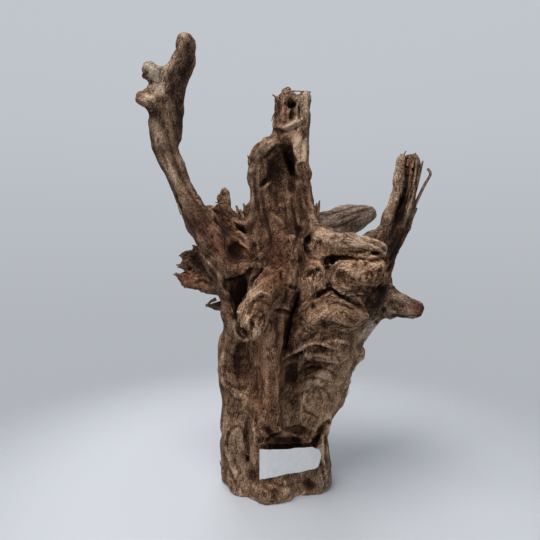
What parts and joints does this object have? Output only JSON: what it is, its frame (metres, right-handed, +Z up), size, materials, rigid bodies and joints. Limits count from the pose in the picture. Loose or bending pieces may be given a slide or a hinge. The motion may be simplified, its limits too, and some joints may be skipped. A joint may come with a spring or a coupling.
{
  "type": "aquarium driftwood",
  "caption": "Weathered root stump standing upside down on its flat sawn foot, with broken root branches in the air and a blank paper label, to decorate an aquarium.",
  "frame": {"origin": "middle of the flat sawn foot, on the surface that the wood stands on", "axes": "+Z up along the trunk, -Y towards the front with the label, +X towards the branch stub on the right"},
  "size_m": [0.2614, 0.1633, 0.3998],
  "materials": {
    "weathered_wood": "dry, furrowed and rough",
    "plain_paper": "matt white label paper"
  },
  "bodies": {
    "root": {"driftwood": "weathered_wood", "blank_label": "plain_paper"}
  },
  "joints": []
}
